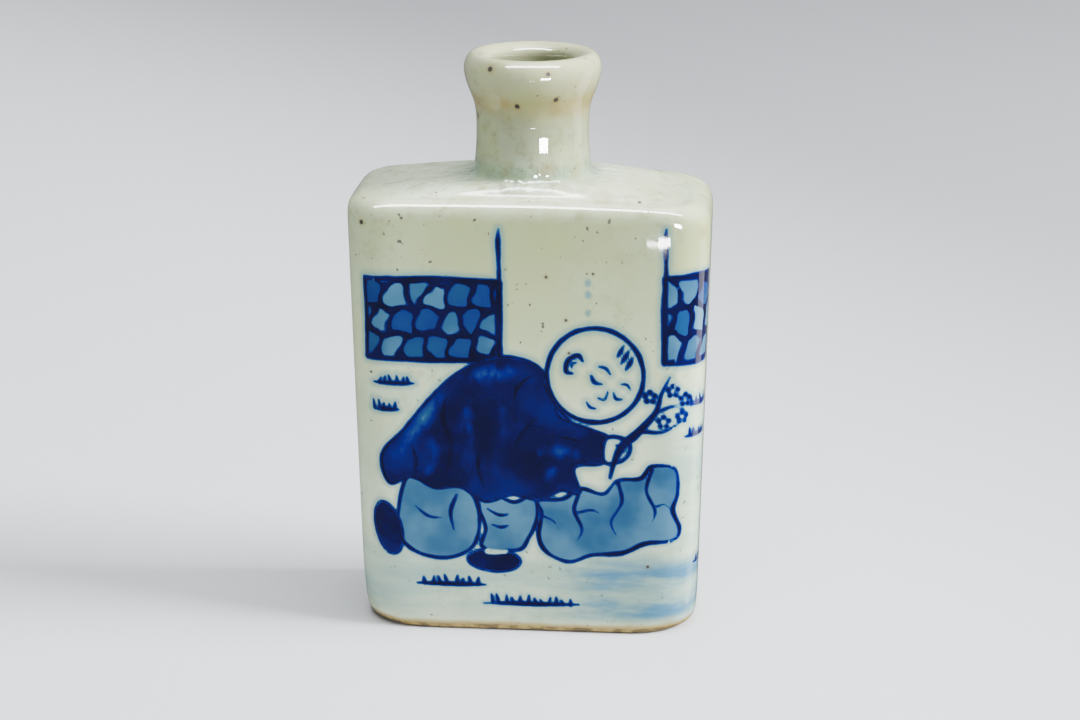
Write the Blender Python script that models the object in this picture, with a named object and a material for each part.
"""Porcelain snuff bottle: a hollow rectangular flask with rounded corners, a round neck and a rolled lip.

Run it with blender --background --python part.py, or from Blender's text editor. Lengths are in metres,
+Z is up, the front face looks towards -Y, and the origin is on the table under the middle of the foot.
"""

import math
from collections import namedtuple

import bmesh
import bpy

MM = 0.001

# Heights, from the table up
BODY_HEIGHT = 55.7 * MM  # to the outer edge of the shoulder's top
SHOULDER_RISE = 1.5 * MM  # gentle dome from that edge up to the neck
NECK_HEIGHT = 7.4 * MM  # up to where the neck starts to spread
LIP_HEIGHT = 7.6 * MM  # from where the neck starts to spread up to the crest

# Widths run along X and depths along Y, at the shoulder and at the table
SHOULDER_WIDTH = 44.6 * MM
SHOULDER_DEPTH = 22.0 * MM
FOOT_WIDTH = 42.4 * MM
FOOT_DEPTH = 19.6 * MM

# Roundings of the body
CORNER_RADIUS = 5.0 * MM  # upright corners, seen from above
FOOT_CORNER_RADIUS = 7.6 * MM  # the same corners where they meet the table
FOOT_CORNER_HEIGHT = 9.0 * MM  # height over which the corners grow rounder towards the table
FOOT_ROUNDING_HEIGHT = 2.1 * MM
FOOT_ROUNDING_INSET = 0.7 * MM
SHOULDER_ROUNDING = 3.5 * MM  # radius of the shoulder's rounded edge at the two ends
CREST_ROUNDING = 1.8 * MM  # radius of that edge along the front and the back, where it is tighter
SHOULDER_ARCH = 0.3 * MM  # how much higher the top of that edge is in front of the neck

# Neck and lip
NECK_RADIUS = 7.2 * MM  # above the fillet at its root
NECK_TOP_RADIUS = 6.95 * MM  # where it starts to spread into the lip
NECK_FILLET = 0.9 * MM
LIP_RADIUS = 8.45 * MM
LIP_DROP = 2.0 * MM  # the widest level lies this far below the crest
CREST_RADIUS = 7.1 * MM
BORE_RADIUS = 5.2 * MM
BORE_ROUNDING = 1.5 * MM  # height of the roll from the crest into the bore

# Thicknesses and the hollow
WALL = 2.4 * MM
FLOOR = 2.6 * MM
HOLLOW_FOOT_ROUNDING = 3.0 * MM
HOLLOW_CORNER_RADIUS = 3.6 * MM

# Underside
FOOT_RIM = 2.6 * MM  # flat rim that the bottle stands on
RECESS_DEPTH = 0.8 * MM
RECESS_SLOPE = 0.4 * MM  # how far the recess narrows over its depth

# Fineness of the facets
CORNER_SEGMENTS = 9  # in each rounded corner
SIDE_POINTS = 7  # points along the front and the back, between their corners
ROUNDING_STEPS = 8
WALL_STEPS = 6
FOOT_STEPS = 4
DOME_STEPS = 6
SPREAD_STEPS = 8

# Small shares that keep the shapes soft
CORNER_SHARE_OF_INSET = 0.3  # how much a corner tightens as the shoulder rounds inwards
FLAT_SHARE = 0.04  # least flat left between two corners of one side
DOME_POWER = 1.2  # above 1 the dome is steepest at its outer edge

TOTAL_HEIGHT = BODY_HEIGHT + SHOULDER_RISE + NECK_HEIGHT + LIP_HEIGHT
SHOULDER_TOP = BODY_HEIGHT + SHOULDER_RISE
SPREAD_START = SHOULDER_TOP + NECK_HEIGHT
WIDEST_LIP = TOTAL_HEIGHT - LIP_DROP
FLOOR_LEVEL = RECESS_DEPTH + FLOOR

PORCELAIN_COLOUR = (0.60, 0.66, 0.58, 1.0)
PORCELAIN_ROUGHNESS = 0.12

# One level of the bottle: roundness 0 is a rectangle with rounded corners, and 1 is a true circle.
# Its arch is how much higher it is in the middle of its width than at its two ends.
Level = namedtuple("Level", "z half_width half_depth corner roundness arch")


def clear_scene():
    for thing in list(bpy.data.objects):
        bpy.data.objects.remove(thing, do_unlink=True)


def steps(count):
    """Shares from just above 0 up to 1."""
    return [index / count for index in range(1, count + 1)]


def circle_level(z, radius):
    return Level(z, radius, radius, radius, 1.0, 0.0)


def body_half_sizes(z):
    """Half width and half depth of the outer wall at a height, before its edges are rounded."""
    share = z / BODY_HEIGHT
    width = FOOT_WIDTH + (SHOULDER_WIDTH - FOOT_WIDTH) * share
    depth = FOOT_DEPTH + (SHOULDER_DEPTH - FOOT_DEPTH) * share
    return width / 2, depth / 2


def body_corner(z):
    """Corner radius at a height: the corners grow rounder towards the table."""
    low = max(0.0, 1.0 - z / FOOT_CORNER_HEIGHT) ** 2
    return CORNER_RADIUS + (FOOT_CORNER_RADIUS - CORNER_RADIUS) * low


def wall_level(z, inset=0.0, corner=None):
    half_width, half_depth = body_half_sizes(z)
    corner = body_corner(z) if corner is None else corner
    return Level(z, half_width - inset, half_depth - inset, corner, 0.0, 0.0)


def shoulder_edge_levels(wall, corner):
    """Up round the shoulder's edge, at the outer face or the given wall inside it."""
    levels = []
    top = BODY_HEIGHT - wall
    for share in steps(ROUNDING_STEPS):
        angle = share * math.pi / 2
        turn = 1 - math.cos(angle)
        z = top - SHOULDER_ROUNDING * (1 - math.sin(angle))
        crest_rise = max(0.0, 1 - (top - z) / CREST_ROUNDING)
        crest_turn = 1 - math.sqrt(1 - crest_rise**2)
        half_width, half_depth = body_half_sizes(z)
        half_width -= wall + SHOULDER_ROUNDING * turn
        half_depth -= wall + CREST_ROUNDING * crest_turn
        edge_corner = corner - CORNER_SHARE_OF_INSET * SHOULDER_ROUNDING * turn
        levels.append(Level(z, half_width, half_depth, edge_corner, 0.0, SHOULDER_ARCH * share**2))
    return levels


def dome_levels(edge, root):
    """From the top of the shoulder's edge up its dome to a circle, which comes last."""
    levels = []
    for share in steps(DOME_STEPS):
        left = (1 - share) ** DOME_POWER
        z = root.z + (edge.z - root.z) * left
        sizes = [a + (b - a) * share for a, b in zip(edge[1:-1], root[1:-1])]
        levels.append(Level(z, *sizes, edge.arch * left))
    return levels


def foot_levels():
    """From the middle of the recess out over the flat rim and up round the foot's edge."""
    edge = wall_level(0.0, FOOT_ROUNDING_INSET)
    inner = FOOT_ROUNDING_INSET + FOOT_RIM
    recess_corner = FOOT_CORNER_RADIUS - FOOT_RIM
    rim_inside = wall_level(0.0, inner, recess_corner)
    recess_edge = wall_level(0.0, inner + RECESS_SLOPE, recess_corner - RECESS_SLOPE)
    levels = [recess_edge._replace(z=RECESS_DEPTH), rim_inside, edge]
    for share in steps(FOOT_STEPS):
        angle = share * math.pi / 2
        z = FOOT_ROUNDING_HEIGHT * (1 - math.cos(angle))
        levels.append(wall_level(z, FOOT_ROUNDING_INSET * (1 - math.sin(angle))))
    return levels


def side_levels():
    """Up the side, close together where the corners change and then up to the shoulder's rounding."""
    top = BODY_HEIGHT - SHOULDER_ROUNDING
    change = max(FOOT_CORNER_HEIGHT, FOOT_ROUNDING_HEIGHT)
    heights = [FOOT_ROUNDING_HEIGHT + (change - FOOT_ROUNDING_HEIGHT) * share for share in steps(FOOT_STEPS)]
    heights += [change + (top - change) * share for share in steps(WALL_STEPS)]
    return [wall_level(z) for z in heights]


def shoulder_levels():
    """Round the shoulder's edge, up its dome and through the fillet at the neck's root."""
    levels = shoulder_edge_levels(0.0, CORNER_RADIUS)
    levels += dome_levels(levels[-1], circle_level(SHOULDER_TOP, NECK_RADIUS + NECK_FILLET))
    for share in steps(FOOT_STEPS):
        angle = share * math.pi / 2
        z = SHOULDER_TOP + NECK_FILLET * (1 - math.cos(angle))
        levels.append(circle_level(z, NECK_RADIUS + NECK_FILLET * (1 - math.sin(angle))))
    return levels


def lip_levels():
    """Up the neck, out under the lip, over its crest and into the bore."""
    levels = [circle_level(SPREAD_START, NECK_TOP_RADIUS)]
    for share in steps(SPREAD_STEPS):
        swell = 0.5 - 0.5 * math.cos(math.pi * share)
        z = SPREAD_START + (WIDEST_LIP - SPREAD_START) * share
        levels.append(circle_level(z, NECK_TOP_RADIUS + (LIP_RADIUS - NECK_TOP_RADIUS) * swell))
    for share in steps(ROUNDING_STEPS):
        angle = share * math.pi / 2
        z = WIDEST_LIP + LIP_DROP * math.sin(angle)
        levels.append(circle_level(z, CREST_RADIUS + (LIP_RADIUS - CREST_RADIUS) * math.cos(angle)))
    for share in steps(ROUNDING_STEPS):
        angle = share * math.pi / 2
        z = TOTAL_HEIGHT - BORE_ROUNDING * (1 - math.cos(angle))
        levels.append(circle_level(z, CREST_RADIUS - (CREST_RADIUS - BORE_RADIUS) * math.sin(angle)))
    return levels


def hollow_levels():
    """Down the bore, out under the shoulder, down the inside of the walls and in over the floor."""
    edge = shoulder_edge_levels(WALL, HOLLOW_CORNER_RADIUS)
    dome = dome_levels(edge[-1], circle_level(SHOULDER_TOP - WALL, BORE_RADIUS))
    levels = list(reversed(edge + dome))
    start = BODY_HEIGHT - WALL - SHOULDER_ROUNDING
    floor_start = FLOOR_LEVEL + HOLLOW_FOOT_ROUNDING
    for share in [0.0] + steps(WALL_STEPS):
        levels.append(wall_level(start + (floor_start - start) * share, WALL, HOLLOW_CORNER_RADIUS))
    for share in steps(FOOT_STEPS):
        angle = share * math.pi / 2
        z = floor_start - HOLLOW_FOOT_ROUNDING * math.sin(angle)
        inset = WALL + HOLLOW_FOOT_ROUNDING * (1 - math.cos(angle))
        levels.append(wall_level(z, inset, HOLLOW_CORNER_RADIUS))
    return levels


def half_ring(level):
    """Points (x, y) of the back half of one level, from its +X end round to its -X end."""
    flat = FLAT_SHARE * (1 - level.roundness)
    corner = min(level.corner, level.half_width * (1 - flat), level.half_depth * (1 - flat))
    centre_x = level.half_width - corner
    centre_y = level.half_depth - corner
    spacing = math.pi / (2 * (CORNER_SEGMENTS + 1) + SIDE_POINTS)
    end_margin = level.roundness * spacing / 2
    side_margin = level.roundness * spacing * (SIDE_POINTS + 1) / 2
    sweep = math.pi / 2 - end_margin - side_margin
    corner_shares = [0.0] + steps(CORNER_SEGMENTS)
    side_shares = steps(SIDE_POINTS + 1)[:-1]
    arc = [(centre_x, end_margin + sweep * share) for share in corner_shares]
    for share in side_shares:
        angle = math.pi / 2 + side_margin * (2 * share - 1)
        arc.append((centre_x * (1 - 2 * share), angle))
    arc += [(-centre_x, math.pi / 2 + side_margin + sweep * share) for share in corner_shares]
    return [(x + corner * math.cos(angle), centre_y + corner * math.sin(angle)) for x, angle in arc]


def ring_points(level):
    """Points round one level, anticlockwise seen from above, with the same number at every level."""
    back = half_ring(level)
    points = []
    for x, y in back + [(-x, -y) for x, y in back]:
        lift = level.arch * (1 - (x / level.half_width) ** 2)
        points.append((x, y, level.z + lift))
    return points


def porcelain_material():
    material = bpy.data.materials.new("glazed porcelain")
    material.use_nodes = True
    shader = material.node_tree.nodes["Principled BSDF"]
    shader.inputs["Base Color"].default_value = PORCELAIN_COLOUR
    shader.inputs["Roughness"].default_value = PORCELAIN_ROUGHNESS
    shader.inputs["Metallic"].default_value = 0.0
    return material


def build_bottle():
    """One closed skin: up the outside, over the lip and down the inside to the floor."""
    shape = bmesh.new()
    levels = foot_levels() + side_levels() + shoulder_levels() + lip_levels() + hollow_levels()
    rings = [[shape.verts.new(point) for point in ring_points(level)] for level in levels]
    for low, high in zip(rings, rings[1:]):
        for index in range(len(low)):
            after = (index + 1) % len(low)
            shape.faces.new((low[index], low[after], high[after], high[index]))
    shape.faces.new(reversed(rings[0]))
    shape.faces.new(rings[-1])
    mesh = bpy.data.meshes.new("bottle")
    shape.to_mesh(mesh)
    shape.free()
    mesh.shade_smooth()
    mesh.set_sharp_from_angle(angle=math.radians(40))
    mesh.materials.append(porcelain_material())
    bottle = bpy.data.objects.new("bottle", mesh)
    bpy.context.scene.collection.objects.link(bottle)
    return bottle


clear_scene()
build_bottle()
